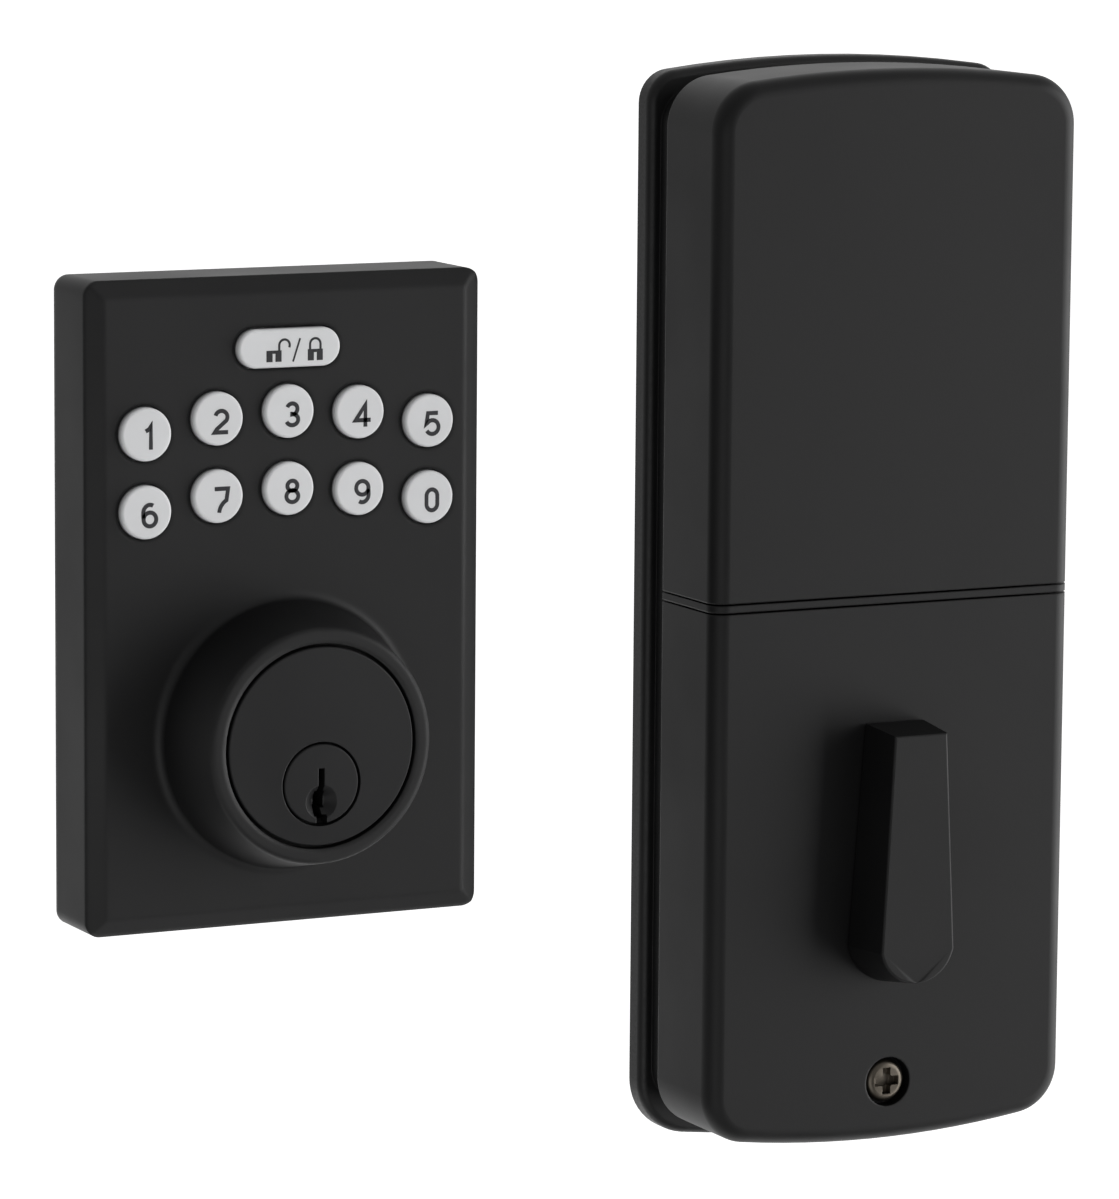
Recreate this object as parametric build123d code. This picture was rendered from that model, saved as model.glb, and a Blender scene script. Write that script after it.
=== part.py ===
"""Keypad smart lock for a hinged door, as the two units that the maker supplies, side by side.

The exterior unit is a square keypad escutcheon with a key cylinder. The interior unit is a tall
case with a thumb turn, a gear drive and four AA cells. Both stand with their backs on the plane
y = 0, where the door's face is, and both look towards -Y. +Z is up. The origin is where the
exterior unit's tailpiece axis crosses the door face. All sizes are in millimetres.
"""
from build123d import *
import math
import os

# ---- driving dimensions: exterior unit, measured from the tailpiece axis ----
EXT_WIDTH = 73.5
EXT_TOP = 85.7
EXT_BOTTOM = -26.8
EXT_SIDE = 14.4            # depth of the side walls
EXT_FACE = 16.0            # depth of the front face
EXT_BEVEL = 3.1            # width of the bevel round the front face, seen from the front
EXT_WALL = 2.4
EXT_CORNER = 2.6
FACE_WALL = 2.2
RIM_BACK = 1.0             # the seal fills this much behind the housing's rim
COLLAR_Z = 6.5             # the collar is centred this far above the plug
COLLAR_FRONT = 30.7
COLLAR_BASE_R = 23.2
COLLAR_FRONT_R = 20.4
COLLAR_BORE_R = 17.75
CYLINDER_R = 17.15
PLUG_FACE_R = 6.9
PLUG_FACE_GAP = 0.4
PLUG_R = 6.35
RUNNING_GAP = 0.05

# ---- driving dimensions: keypad ----
KEY_R = 4.6
KEY_PITCH = 13.2
KEY_ROWS = (62.4, 49.1)    # height of the middle key of each row
KEY_SAG = 2.8              # how far the outer keys of a row hang below its middle key
KEY_PROUD = 1.1
KEY_ROUND = 0.5
LOCK_BUTTON = (19.0, 6.7, 73.3)   # width, height and the height of its centre
HOLE_GAP = 0.25
FLANGE = 1.0               # how far a key's flange reaches past its cap

# ---- driving dimensions: interior unit, measured from its spindle ----
INT_X = 111.4              # where the spindle stands in the frame of the whole set
INT_Z = -20.5
CASE_WIDTH = 72.6
CASE_TOP = 139.9
CASE_BOTTOM = -52.6
CASE_FRONT = 31.0
CASE_BACK = 11.2           # the covers begin this far in front of the door
CASE_WALL = 2.2
CASE_CORNER = 9.0
TOP_CROWN = 2.8
BOTTOM_CROWN = 3.2
RIM_TOP_EXTRA = 0.9        # how far the base's rim reaches past the covers
RIM_BOTTOM_EXTRA = 3.5
RIM_CORNERS = (6.0, 10.5)  # radii at the top and at the bottom
RIM_ROUND = 1.5
RIM_DEPTH = 4.4
NECK_INSET = 2.3
SPLIT_Z = 45.9             # middle of the trim between the two covers
TRIM_HEIGHT = 1.25
SEAM = 0.35

# ---- driving dimensions: drive ----
MODULE_OUT = 0.8
MODULE_IN = 0.6
DRIVE_TEETH = 40
IDLER_SMALL_TEETH = 12
IDLER_LARGE_TEETH = 36
PINION_TEETH = 12
PRESSURE = math.radians(25)
BACKLASH = 0.1
IDLER_ANGLE = 60.0         # direction of the idler from the spindle, above +X
MOTOR_ANGLE = 146.0        # direction of the motor from the idler, above +X

BOLT_SPACING = 38.0
BOLT_R = 2.0
BOLT_NECK_R = 1.8          # the plain neck under the bolt's head
BOLT_LENGTH = 30.0
CELL_R = 7.25
CELL_LENGTH = 50.5
CELL_PITCH = 14.8

written = []


def save(name, shape):
    """Writes one named piece, or a group of identical loose pieces, as a STEP file."""
    shape.label = name
    export_step(shape, f"parts/{name}.step")
    written.append(name)


def slab(outline, back, front):
    """An outline drawn in X and Z, made solid between two depths in front of the door."""
    return Pos(0, -back, 0) * extrude(Plane.XZ * outline, amount=front - back)


def rod(radius, back, front, x=0.0, z=0.0):
    return slab(Pos(x, z) * Circle(radius), back, front)


def bar(width, height, back, front, x=0.0, z=0.0):
    return slab(Pos(x, z) * Rectangle(width, height), back, front)


def rounded_bar(width, height, corner, back, front, x=0.0, z=0.0):
    return slab(Pos(x, z) * RectangleRounded(width, height, corner), back, front)


def tube(outer, inner, back, front, x=0.0, z=0.0):
    return slab(Pos(x, z) * (Circle(outer) - Circle(inner)), back, front)


def upright(radius, bottom, top, x=0.0, y=0.0):
    """A round pin that stands along Z."""
    return Pos(x, y, bottom) * extrude(Circle(radius), amount=top - bottom)


def interior(shape):
    """Moves a piece from the interior unit's own frame to the frame of the whole set."""
    return Pos(INT_X, 0, INT_Z) * shape


def group(pieces):
    return Compound(children=list(pieces))


def cross_recess(y_face, depth, size, x=0.0, z=0.0):
    """The tool that cuts a cross recess, a tapered plus sign, into a screw head."""
    arm = size * 0.34
    plus = Rectangle(size, arm) + Rectangle(arm, size)
    wide = Pos(x, z) * plus
    return slab(wide, y_face - depth, y_face + 1) + rod(arm * 0.8, y_face - depth - 0.3, y_face, x, z)


def pan_screw(head_r, head_height, shank_r, seat, length, x=0.0, z=0.0):
    """A cross-recessed pan head screw whose head stands in front of the depth called seat."""
    head = rod(head_r, seat, seat + head_height, x, z)
    rim = head.edges().filter_by(GeomType.CIRCLE).sort_by(Axis.Y)[0]
    head = fillet(rim, head_height * 0.6)
    shank = rod(shank_r, seat - length, seat, x, z)
    recess = cross_recess(seat + head_height, head_height * 0.75, head_r * 1.25, x, z)
    return head + shank - recess


# ---------------------------------------------------------------- exterior unit
EXT_HEIGHT = EXT_TOP - EXT_BOTTOM
EXT_MID_Z = (EXT_TOP + EXT_BOTTOM) / 2
FACE_INSIDE = EXT_FACE - FACE_WALL
PLATE_BACK = 1.5
PLATE_FRONT = 3.0
BOSS_PLACES = [(sx * 29.5, z) for sx in (-1, 1) for z in (EXT_BOTTOM + 7.5, EXT_TOP - 7.0)]
SCREW_M3 = 1.5
BOSS_R = 3.2
BOARD_BOSS_R = 2.6
THREAD_GAP = 0.05


def escutcheon_outline(inset, corner):
    size = (EXT_WIDTH - 2 * inset, EXT_HEIGHT - 2 * inset)
    return Pos(0, EXT_MID_Z) * RectangleRounded(*size, corner)


def escutcheon_bevel():
    """The block whose sloping front sides give the face its bevel."""
    near = Pos(0, -EXT_SIDE, 0) * (Plane.XZ * (Pos(0, EXT_MID_Z) * Rectangle(EXT_WIDTH, EXT_HEIGHT)))
    size = (EXT_WIDTH - 2 * EXT_BEVEL, EXT_HEIGHT - 2 * EXT_BEVEL)
    far = Pos(0, -EXT_FACE, 0) * (Plane.XZ * (Pos(0, EXT_MID_Z) * Rectangle(*size)))
    front = loft([near, far])
    return bar(EXT_WIDTH, EXT_HEIGHT, 0, EXT_SIDE, z=EXT_MID_Z) + front


def collar():
    """The round collar round the cylinder: a flared foot, a tapered wall and a flat rim."""
    foot = -(EXT_FACE - 1.0)
    flare = 1.6
    lip = 0.45
    with BuildSketch(Plane.XY) as profile:
        with BuildLine():
            inner_foot = (COLLAR_BORE_R, foot)
            outer_foot = (COLLAR_BASE_R + flare, foot)
            skirt = (COLLAR_BASE_R + flare, -EXT_FACE)
            wall_start = (COLLAR_BASE_R, -EXT_FACE - flare)
            wall_end = (COLLAR_FRONT_R, -COLLAR_FRONT + lip)
            rim_outer = (COLLAR_FRONT_R - lip, -COLLAR_FRONT)
            rim_inner = (COLLAR_BORE_R, -COLLAR_FRONT)
            Line(inner_foot, outer_foot)
            Line(outer_foot, skirt)
            TangentArc(skirt, wall_start, tangent=(-1, 0))
            Line(wall_start, wall_end)
            TangentArc(wall_end, rim_outer, tangent=(-0.2, -1))
            Line(rim_outer, rim_inner)
            Line(rim_inner, inner_foot)
        make_face()
    return Pos(0, 0, COLLAR_Z) * revolve(profile.sketch, Axis.Y)


def key_places():
    """Name, x and z of each digit key: two rows of five, each row on a shallow arch."""
    for row, digits in zip(KEY_ROWS, ("12345", "67890")):
        for column, digit in enumerate(digits):
            side = column - 2
            yield f"key_{digit}", side * KEY_PITCH, row - KEY_SAG * (side / 2) ** 2


def lock_button_outline(extra):
    width, height, z = LOCK_BUTTON
    return Pos(0, z) * RectangleRounded(width + 2 * extra, height + 2 * extra, height / 2 + extra - 0.01)


def keypad_escutcheon():
    block = slab(escutcheon_outline(0, EXT_CORNER), RIM_BACK, EXT_FACE) & escutcheon_bevel()
    block += collar()
    block -= slab(escutcheon_outline(EXT_WALL, 0.8), 0, FACE_INSIDE)
    block -= rod(COLLAR_BORE_R, 0, COLLAR_FRONT + 1, z=COLLAR_Z)
    for _, x, z in key_places():
        block -= rod(KEY_R + HOLE_GAP, 0, EXT_FACE + 1, x, z)
    block -= slab(lock_button_outline(HOLE_GAP), 0, EXT_FACE + 1)
    for x, z in BOSS_PLACES:
        block += tube(BOSS_R, SCREW_M3 + THREAD_GAP, PLATE_FRONT, FACE_INSIDE, x, z)
    for x, z in BOARD_SCREW_PLACES:
        block += tube(BOARD_BOSS_R, BOARD_SCREW_R + THREAD_GAP, BOARD_FRONT, FACE_INSIDE, x, z)
    return block


def key_cap(x, z):
    cap = rod(KEY_R, FACE_INSIDE - 0.3, EXT_FACE + KEY_PROUD, x, z)
    cap = fillet(cap.edges().filter_by(GeomType.CIRCLE).sort_by(Axis.Y)[0], KEY_ROUND)
    return cap + rod(KEY_R + FLANGE, FACE_INSIDE - 1.1, FACE_INSIDE - 0.1, x, z)


def lock_button():
    cap = slab(lock_button_outline(0), FACE_INSIDE - 0.3, EXT_FACE + KEY_PROUD)
    cap = fillet(cap.faces().sort_by(Axis.Y)[0].edges(), KEY_ROUND)
    return cap + slab(lock_button_outline(FLANGE), FACE_INSIDE - 1.1, FACE_INSIDE - 0.1)


KEYMAT_FRONT = FACE_INSIDE - 2.4
BOARD_FRONT = KEYMAT_FRONT - 1.2
BOARD_BACK = BOARD_FRONT - 1.6
KEYPAD_BOARD = (62.0, 50.0, 58.0)      # width, height and the height of its centre
BOARD_SCREW_PLACES = [(sx * 28.0, z) for sx in (-1, 1) for z in (36.6, 69.5)]
BOARD_SCREW_R = 1.1


def keypad_membrane():
    """The rubber mat behind the keys, with a low pad under each."""
    width, height, middle = KEYPAD_BOARD
    mat = rounded_bar(width - 3, height - 4, 2, BOARD_FRONT + 0.1, KEYMAT_FRONT, z=middle)
    for _, x, z in key_places():
        mat += rod(KEY_R - 0.6, KEYMAT_FRONT - 0.2, KEYMAT_FRONT + 0.4, x, z)
    mat += slab(lock_button_outline(-0.6), KEYMAT_FRONT - 0.2, KEYMAT_FRONT + 0.4)
    for x, z in BOARD_SCREW_PLACES:
        mat -= rod(BOARD_BOSS_R + 0.3, 0, EXT_FACE, x, z)
    for x, z in BOSS_PLACES:
        mat -= rod(BOSS_R + 0.3, 0, EXT_FACE, x, z)
    return mat


def keypad_board():
    width, height, middle = KEYPAD_BOARD
    board = rounded_bar(width, height, 1.5, BOARD_BACK, BOARD_FRONT, z=middle)
    for x, z in BOARD_SCREW_PLACES:
        board -= rod(BOARD_SCREW_R + 0.15, 0, EXT_FACE, x, z)
    for x, z in BOSS_PLACES:
        board -= rod(BOSS_R + 0.3, 0, EXT_FACE, x, z)
    return board


def keypad_chips():
    """What is soldered to the back of the keypad board: controller, driver and small parts."""
    back = BOARD_BACK
    chips = [bar(7, 7, back - 1.2, back, -12, 62), bar(5, 4, back - 1.4, back, 4, 66)]
    chips += [bar(1.6, 0.9, back - 0.7, back, -22 + 4 * i, 52) for i in range(6)]
    chips += [rod(2.4, back - 3.4, back, 20, 64), rod(2.4, back - 3.4, back, 20, 57)]
    return group(chips)


def cable_socket():
    """The header that the door cable plugs into, open towards the door."""
    body = bar(10, 5.2, BOARD_BACK - 4.4, BOARD_BACK, 0, 43)
    body -= bar(8.6, 3.8, BOARD_BACK - 5, BOARD_BACK - 1, 0, 43)
    pins = [bar(0.5, 0.5, BOARD_BACK - 3.6, BOARD_BACK - 1.2, -3 + 1.5 * i, 43) for i in range(5)]
    for pin in pins:
        body += pin
    return body


CABLE_SLOT = (16.0, 8.0, 22.0)         # width, height and the height of its centre
CYLINDER_SCREW_PLACES = [(-9.0, 12.5), (9.0, 12.5)]


def exterior_back_plate():
    plate = slab(escutcheon_outline(EXT_WALL + 0.2, 0.6), PLATE_BACK, PLATE_FRONT)
    plate -= rod(9.0, 0, EXT_FACE)
    width, height, z = CABLE_SLOT
    plate -= rounded_bar(width, height, 2, 0, EXT_FACE, z=z)
    for x, z in BOSS_PLACES + CYLINDER_SCREW_PLACES:
        plate -= rod(SCREW_M3 + 0.15, 0, EXT_FACE, x, z)
    for sx in (-1, 1):
        plate -= rod(3.05, 0, EXT_FACE, sx * BOLT_SPACING / 2, 0)
    return plate


def door_seal():
    ring = escutcheon_outline(0.4, EXT_CORNER) - escutcheon_outline(3.9, 1.0)
    return slab(ring, 0, RIM_BACK)


POST_END = -22.0                       # the posts stand this far into the door


def mounting_posts():
    """Two internally threaded posts, staked into the back plate, that the through bolts pull on."""
    posts = []
    for sx in (-1, 1):
        x = sx * BOLT_SPACING / 2
        post = rod(4.6, POST_END, PLATE_BACK, x) + rod(3.0, PLATE_BACK, PLATE_FRONT + 0.8, x)
        posts.append(post - rod(BOLT_R + 0.1, POST_END - 1, PLATE_FRONT, x))
    return group(posts)


# ---- key cylinder, round the plug's axis at x = 0, z = 0 ----
BARREL_R = 10.2
BIBLE_HALF = 5.2
BIBLE_TOP = 20.0
PIN_R = 1.42
PIN_HOLE_R = 1.5
PIN_PITCH = 3.97
FIRST_PIN = COLLAR_FRONT - 6.2
PIN_DEPTHS = [FIRST_PIN - i * PIN_PITCH for i in range(5)]
KEY_PIN_LENGTHS = (3.6, 4.8, 4.0, 5.2, 4.4)
DRIVER_LENGTH = 4.8
SHEAR_UP = PLUG_R + RUNNING_GAP
CHAMBER_TOP = 18.4
BODY_BACK = PLATE_FRONT + 0.1
FACE_DISC = 3.2
SHOULDER = 2.5
KEY_GUIDE = (1.5, 2.9, 1.2)            # depth, radius at the face, radius at the bottom
KEY_GUIDE_Z = -3.1


def cylinder_body():
    """The cylinder's shell: a face disc, the barrel round the plug and the block over the pins."""
    body = rod(CYLINDER_R, COLLAR_FRONT - FACE_DISC, COLLAR_FRONT, z=COLLAR_Z)
    body = chamfer(body.edges().filter_by(GeomType.CIRCLE).sort_by(Axis.Y)[0], 0.2)
    body += rod(BARREL_R, BODY_BACK, COLLAR_FRONT - FACE_DISC)
    body += bar(2 * BIBLE_HALF, BIBLE_TOP, BODY_BACK, COLLAR_FRONT - FACE_DISC, z=BIBLE_TOP / 2)
    for x, z in CYLINDER_SCREW_PLACES:
        body += bar(7.6, 6.0, BODY_BACK, BODY_BACK + 9, x * 0.88, z)
        body -= rod(SCREW_M3 + THREAD_GAP, 0, BODY_BACK + 8, x, z)
    body -= rod(PLUG_R + RUNNING_GAP, 0, COLLAR_FRONT + 1)
    body -= rod(PLUG_FACE_R + PLUG_FACE_GAP, COLLAR_FRONT - SHOULDER - 0.1, COLLAR_FRONT + 1)
    for depth in PIN_DEPTHS:
        body -= upright(PIN_HOLE_R, 0, CHAMBER_TOP, y=-depth)
    return body


def keyway():
    """The warded slot that the key goes in: a narrow top, a step to each side and an open foot."""
    steps = [(1.15, 4.4, 0.0, 0.5), (1.9, 3.0, -0.1, -2.8), (1.1, 1.9, -0.75, -4.6), (2.0, 1.9, 0.05, -6.3)]
    slot = Rectangle(0.5, 8.0).moved(Pos(0, -2.6))
    for width, height, x, z in steps:
        slot += Pos(x, z) * Rectangle(width, height)
    return slab(slot, COLLAR_FRONT - 24.0, COLLAR_FRONT + 1)


PLUG_BACK = BODY_BACK - 0.3


def key_guide():
    """The cone-shaped hollow that leads the key's tip into the keyway."""
    deep, wide, narrow = KEY_GUIDE
    cone = Cone(narrow, wide, deep, align=(Align.CENTER, Align.CENTER, Align.MIN))
    return Pos(0, -(COLLAR_FRONT - deep), KEY_GUIDE_Z) * Rot(90, 0, 0) * cone


def cylinder_plug():
    plug = rod(PLUG_R, PLUG_BACK, COLLAR_FRONT - SHOULDER)
    plug += rod(PLUG_FACE_R, COLLAR_FRONT - SHOULDER, COLLAR_FRONT)
    plug = chamfer(plug.edges().filter_by(GeomType.CIRCLE).sort_by(Axis.Y)[0], 0.2)
    plug -= key_guide()
    plug -= keyway()
    for depth in PIN_DEPTHS:
        plug -= upright(PIN_HOLE_R, 0.8, PLUG_R + 1, y=-depth)
    plug -= bar(6.7, 2.3, PLUG_BACK - 1, PLUG_BACK + 2.0)
    return plug


def pin(length, bottom, depth):
    body = upright(PIN_R, bottom, bottom + length, y=-depth)
    return chamfer(body.edges().filter_by(GeomType.CIRCLE).sort_by(Axis.Z)[0], 0.5)


def key_pins():
    top = PLUG_R - 0.15
    return group(pin(length, top - length, depth) for length, depth in zip(KEY_PIN_LENGTHS, PIN_DEPTHS))


def driver_pins():
    return group(pin(DRIVER_LENGTH, SHEAR_UP + 0.15, depth) for depth in PIN_DEPTHS)


def coil(radius, wire, height, turns, x, y, bottom, end_radius=None):
    """A compression spring standing along Z."""
    cone = 0 if end_radius is None else math.degrees(math.atan2(end_radius - radius, height))
    path = Helix(height / turns, height, radius, cone_angle=cone)
    section = Plane(origin=path @ 0, z_dir=path % 0) * Circle(wire)
    return Pos(x, y, bottom) * sweep(section, path=path)


def pin_springs():
    bottom = SHEAR_UP + 0.15 + DRIVER_LENGTH + 0.25
    height = CHAMBER_TOP - bottom - 0.25
    return group(coil(1.15, 0.16, height, 6, 0, -depth, bottom) for depth in PIN_DEPTHS)


def plug_retainer():
    """The cap that holds the plug in its shell and the tailpiece on the plug."""
    cap = rod(8.4, PLUG_BACK - 1.3, PLUG_BACK - 0.1)
    return cap - bar(6.8, 2.4, -10, PLUG_BACK + 1)


TAILPIECE_END = -62.0


def tailpiece():
    blade = bar(6.4, 2.0, TAILPIECE_END, PLUG_BACK + 1.8)
    tip = blade.faces().sort_by(Axis.Y)[-1]
    return chamfer(tip.edges().filter_by(Axis.Z), 0.8)


def back_screw(x, z, seat, radius, length):
    """A low-headed cross-recessed screw driven from the door side, its head behind the depth called seat."""
    head_height = radius * 0.85
    head = rod(radius * 1.8, seat - head_height, seat, x, z)
    arm, slit = radius * 2.1, radius * 0.55
    recess = Pos(x, z) * (Rectangle(arm, slit) + Rectangle(slit, arm))
    return head + rod(radius, seat, seat + length, x, z) - slab(recess, seat - 2, seat - head_height * 0.4)


def back_plate_screws():
    return group(back_screw(x, z, PLATE_BACK, SCREW_M3, 8.0) for x, z in BOSS_PLACES)


def board_screws():
    return group(back_screw(x, z, BOARD_BACK, BOARD_SCREW_R, 4.6) for x, z in BOARD_SCREW_PLACES)


def cylinder_screws():
    return group(back_screw(x, z, PLATE_BACK, SCREW_M3, 9.0) for x, z in CYLINDER_SCREW_PLACES)


# ---------------------------------------------------------------- interior unit
def case_outline(inset, top_extra=0.0, bottom_extra=0.0, corners=None):
    """The case seen from the front: straight sides, crowned top and bottom, round corners."""
    top_corner, bottom_corner = corners or (CASE_CORNER - inset, CASE_CORNER - inset)
    half = CASE_WIDTH / 2 - inset
    top = CASE_TOP - inset + top_extra
    bottom = CASE_BOTTOM + inset - bottom_extra
    with BuildSketch() as sketch:
        with BuildLine():
            Line((-half, bottom + BOTTOM_CROWN), (-half, top - TOP_CROWN))
            ThreePointArc((-half, top - TOP_CROWN), (0, top), (half, top - TOP_CROWN))
            Line((half, top - TOP_CROWN), (half, bottom + BOTTOM_CROWN))
            ThreePointArc((half, bottom + BOTTOM_CROWN), (0, bottom), (-half, bottom + BOTTOM_CROWN))
        make_face()
        fillet(sketch.vertices().sort_by(Axis.Y)[:2], bottom_corner)
        fillet(sketch.vertices().sort_by(Axis.Y)[-2:], top_corner)
    return sketch.sketch


COVER_ROUND = 3.0          # radius of the edge round the covers' front
COVER_INSIDE = CASE_FRONT - 2.4
SPINDLE_NECK_R = 4.6
BUSH_R = 5.6
COVER_SCREW_Z = -41.7
COVER_SCREW_POCKET = (4.5, 2.6)        # radius and depth
LIP_DEPTH = 3.2
LIP_GAP = 0.25


def cover_shell():
    """Both covers as one hollow shell, before they are parted at the trim."""
    outer = slab(case_outline(0), CASE_BACK, CASE_FRONT)
    front = outer.faces().sort_by(Axis.Y)[0]
    outer = fillet(front.edges(), COVER_ROUND)
    inner = slab(case_outline(CASE_WALL), CASE_BACK - 1, COVER_INSIDE)
    front = inner.faces().sort_by(Axis.Y)[0]
    inner = fillet(front.edges(), COVER_ROUND - 1.6)
    return outer - inner


def between(shape, low, high):
    """The part of a shape between two heights."""
    block = Box(CASE_WIDTH + 20, CASE_FRONT * 2, high - low)
    return shape & (Pos(0, -CASE_FRONT / 2, (low + high) / 2) * block)


def front_cover(shell):
    cover = between(shell, CASE_BOTTOM - 5, SPLIT_Z - TRIM_HEIGHT / 2 - SEAM)
    cover -= rod(BUSH_R + 0.05, CASE_BACK, CASE_FRONT + 1)
    radius, depth = COVER_SCREW_POCKET
    cover += rod(radius + 1.6, CASE_FRONT - depth - 1.8, CASE_FRONT - 1, z=COVER_SCREW_Z)
    cover -= rod(radius, CASE_FRONT - depth, CASE_FRONT + 1, z=COVER_SCREW_Z)
    return cover - rod(SCREW_M3 + 0.3, CASE_BACK, CASE_FRONT, z=COVER_SCREW_Z)


def battery_cover(shell):
    cover = between(shell, SPLIT_Z + TRIM_HEIGHT / 2 + SEAM, CASE_TOP + 5)
    for sx in (-1, 1):
        cover += bar(1.2, 56, COVER_INSIDE - 1.2, COVER_INSIDE + 0.2, sx * 26, 84)
    return cover


def divider_trim(shell):
    """The bulkhead between the battery bay and the gear bay, whose edge shows as a thin trim."""
    low, high = SPLIT_Z - TRIM_HEIGHT / 2, SPLIT_Z + TRIM_HEIGHT / 2
    edge = between(shell, low, high)
    width = CASE_WIDTH - 2 * CASE_WALL + 0.2
    wall = bar(width, TRIM_HEIGHT, CASE_BACK + LIP_DEPTH + 0.4, COVER_INSIDE + 0.1, z=SPLIT_Z)
    wall -= bar(12, 3, CASE_BACK, CASE_BACK + 6.5, 20, SPLIT_Z)
    return edge + wall


PLATE_SIZE = (60.0, 100.0, 10.0)       # width, height and the height of its centre
PLATE_THICK = 2.0
CABLE_WINDOW = (16.0, 8.0, -19.5)      # width, height and the height of its centre
PLATE_SCREW_PLACES = [(-22.0, 50.0), (22.0, 50.0), (0.0, -34.0)]


def interior_mounting_plate():
    """The steel plate that the through bolts clamp to the door, and the case hangs on."""
    width, height, middle = PLATE_SIZE
    plate = rounded_bar(width, height, 5, 0, PLATE_THICK, z=middle)
    plate -= rod(10.0, -1, 5)
    wide, high, z = CABLE_WINDOW
    plate -= rounded_bar(wide, high, 2, -1, 5, z=z)
    for sx in (-1, 1):
        plate -= rod(BOLT_R + 0.2, -1, 5, sx * BOLT_SPACING / 2)
    for x, z in PLATE_SCREW_PLACES:
        plate -= rod(SCREW_M3 + THREAD_GAP, -1, 5, x, z)
    return plate


def interior_base():
    """The case's back: a rim on the door, a set-in neck, and a lip that the covers close over."""
    base = slab(case_outline(0, RIM_TOP_EXTRA, RIM_BOTTOM_EXTRA, RIM_CORNERS), 0, RIM_DEPTH)
    base = fillet(base.faces().sort_by(Axis.Y)[0].edges(), RIM_ROUND)
    base += slab(case_outline(NECK_INSET) - case_outline(NECK_INSET + 2.0), RIM_DEPTH, CASE_BACK - 0.2)
    lip_outer = CASE_WALL + LIP_GAP
    lip = case_outline(lip_outer) - case_outline(lip_outer + 1.6)
    base += slab(lip, CASE_BACK - 0.2, CASE_BACK + LIP_DEPTH)
    width, height, middle = PLATE_SIZE
    base -= rounded_bar(width + 0.6, height + 0.6, 5.3, -1, PLATE_THICK + 0.2, z=middle)
    base -= rod(REAR_BUSH_R + 0.05, 0, RIM_DEPTH + 1)
    wide, high, z = CABLE_WINDOW
    base -= rounded_bar(wide, high, 2, 0, RIM_DEPTH + 1, z=z)
    for sx in (-1, 1):
        base -= rod(5.0, 0, RIM_DEPTH + 1, sx * BOLT_SPACING / 2)
    for x, z in PLATE_SCREW_PLACES:
        base -= rod(SCREW_M3 + 0.2, 0, RIM_DEPTH + 1, x, z)
    boss_top = CASE_FRONT - COVER_SCREW_POCKET[1] - 1.9
    base += rod(3.4, RIM_DEPTH, boss_top, z=COVER_SCREW_Z)
    base -= rod(SCREW_M3 + THREAD_GAP, RIM_DEPTH + 3, boss_top + 1, z=COVER_SCREW_Z)
    for x, z in FRAME_POST_PLACES:
        base += tube(3.0, SCREW_M3 + THREAD_GAP, RIM_DEPTH, FRAME_BACK, x, z)
    for x, z in BOARD_POST_PLACES:
        base += rod(2.6, RIM_DEPTH, MAIN_BOARD_BACK, x, z)
        base += rod(STAKE_R, MAIN_BOARD_BACK, MAIN_BOARD_FRONT + 0.8, x, z)
    return base


def base_screws():
    return group(pan_screw(2.8, 1.6, SCREW_M3, RIM_DEPTH, 4.0, x, z) for x, z in PLATE_SCREW_PLACES)


def through_bolts():
    """The two long bolts that run through the door into the exterior unit's posts."""
    bolts = []
    for sx in (-1, 1):
        x = sx * BOLT_SPACING / 2
        headed_neck = pan_screw(3.9, 2.2, BOLT_NECK_R, PLATE_THICK, PLATE_THICK + 1.5, x)
        bolts.append(headed_neck + rod(BOLT_R, PLATE_THICK - BOLT_LENGTH, -1.0, x))
    return group(bolts)


def cover_screw():
    radius, depth = COVER_SCREW_POCKET
    return pan_screw(3.85, 2.1, SCREW_M3, CASE_FRONT - depth, 12.0, z=COVER_SCREW_Z)


# ---- thumb turn and spindle ----
TURN_BACK = CASE_FRONT + 0.4
TURN_FRONT = CASE_FRONT + 10.2
TURN_TOP_HALF = 5.3
TURN_FOOT_HALF = 7.3
TURN_TOP_Z = 23.0
TURN_CORNER_Z = -16.0
TURN_FOOT_Z = -21.8
TURN_FLARES = (0.5, 1.4, 0.9)          # how far its back stands out beside the top, round the foot and above
SPINDLE_R = 7.0
REAR_BUSH_R = 9.0
SPINDLE_BACK = 2.4
BLADE_SLOT = (7.0, 2.6)


def turn_outline(top_flare=0.0, foot_flare=0.0, rise=0.0):
    """The turn seen from the front: a flat top that widens down to a round foot."""
    top = TURN_TOP_Z + rise
    top_half = TURN_TOP_HALF + top_flare
    foot_half = TURN_FOOT_HALF + foot_flare
    with BuildSketch() as sketch:
        with BuildLine():
            Line((-top_half, top), (top_half, top))
            Line((top_half, top), (foot_half, TURN_CORNER_Z))
            foot = (0, TURN_FOOT_Z - foot_flare)
            ThreePointArc((foot_half, TURN_CORNER_Z), foot, (-foot_half, TURN_CORNER_Z))
            Line((-foot_half, TURN_CORNER_Z), (-top_half, top))
        make_face()
    return sketch.sketch


def thumb_turn():
    back = Pos(0, -TURN_BACK, 0) * (Plane.XZ * turn_outline(*TURN_FLARES))
    front = Pos(0, -TURN_FRONT, 0) * (Plane.XZ * turn_outline())
    handle = loft([back, front])
    handle = fillet(handle.faces().sort_by(Axis.Y)[0].edges(), 0.4)
    tang = bar(5.6, 5.6, TURN_BACK - 6.0, TURN_BACK)
    return handle + tang - rod(SCREW_M3 + THREAD_GAP, TURN_BACK - 8, TURN_BACK + 8)


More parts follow.
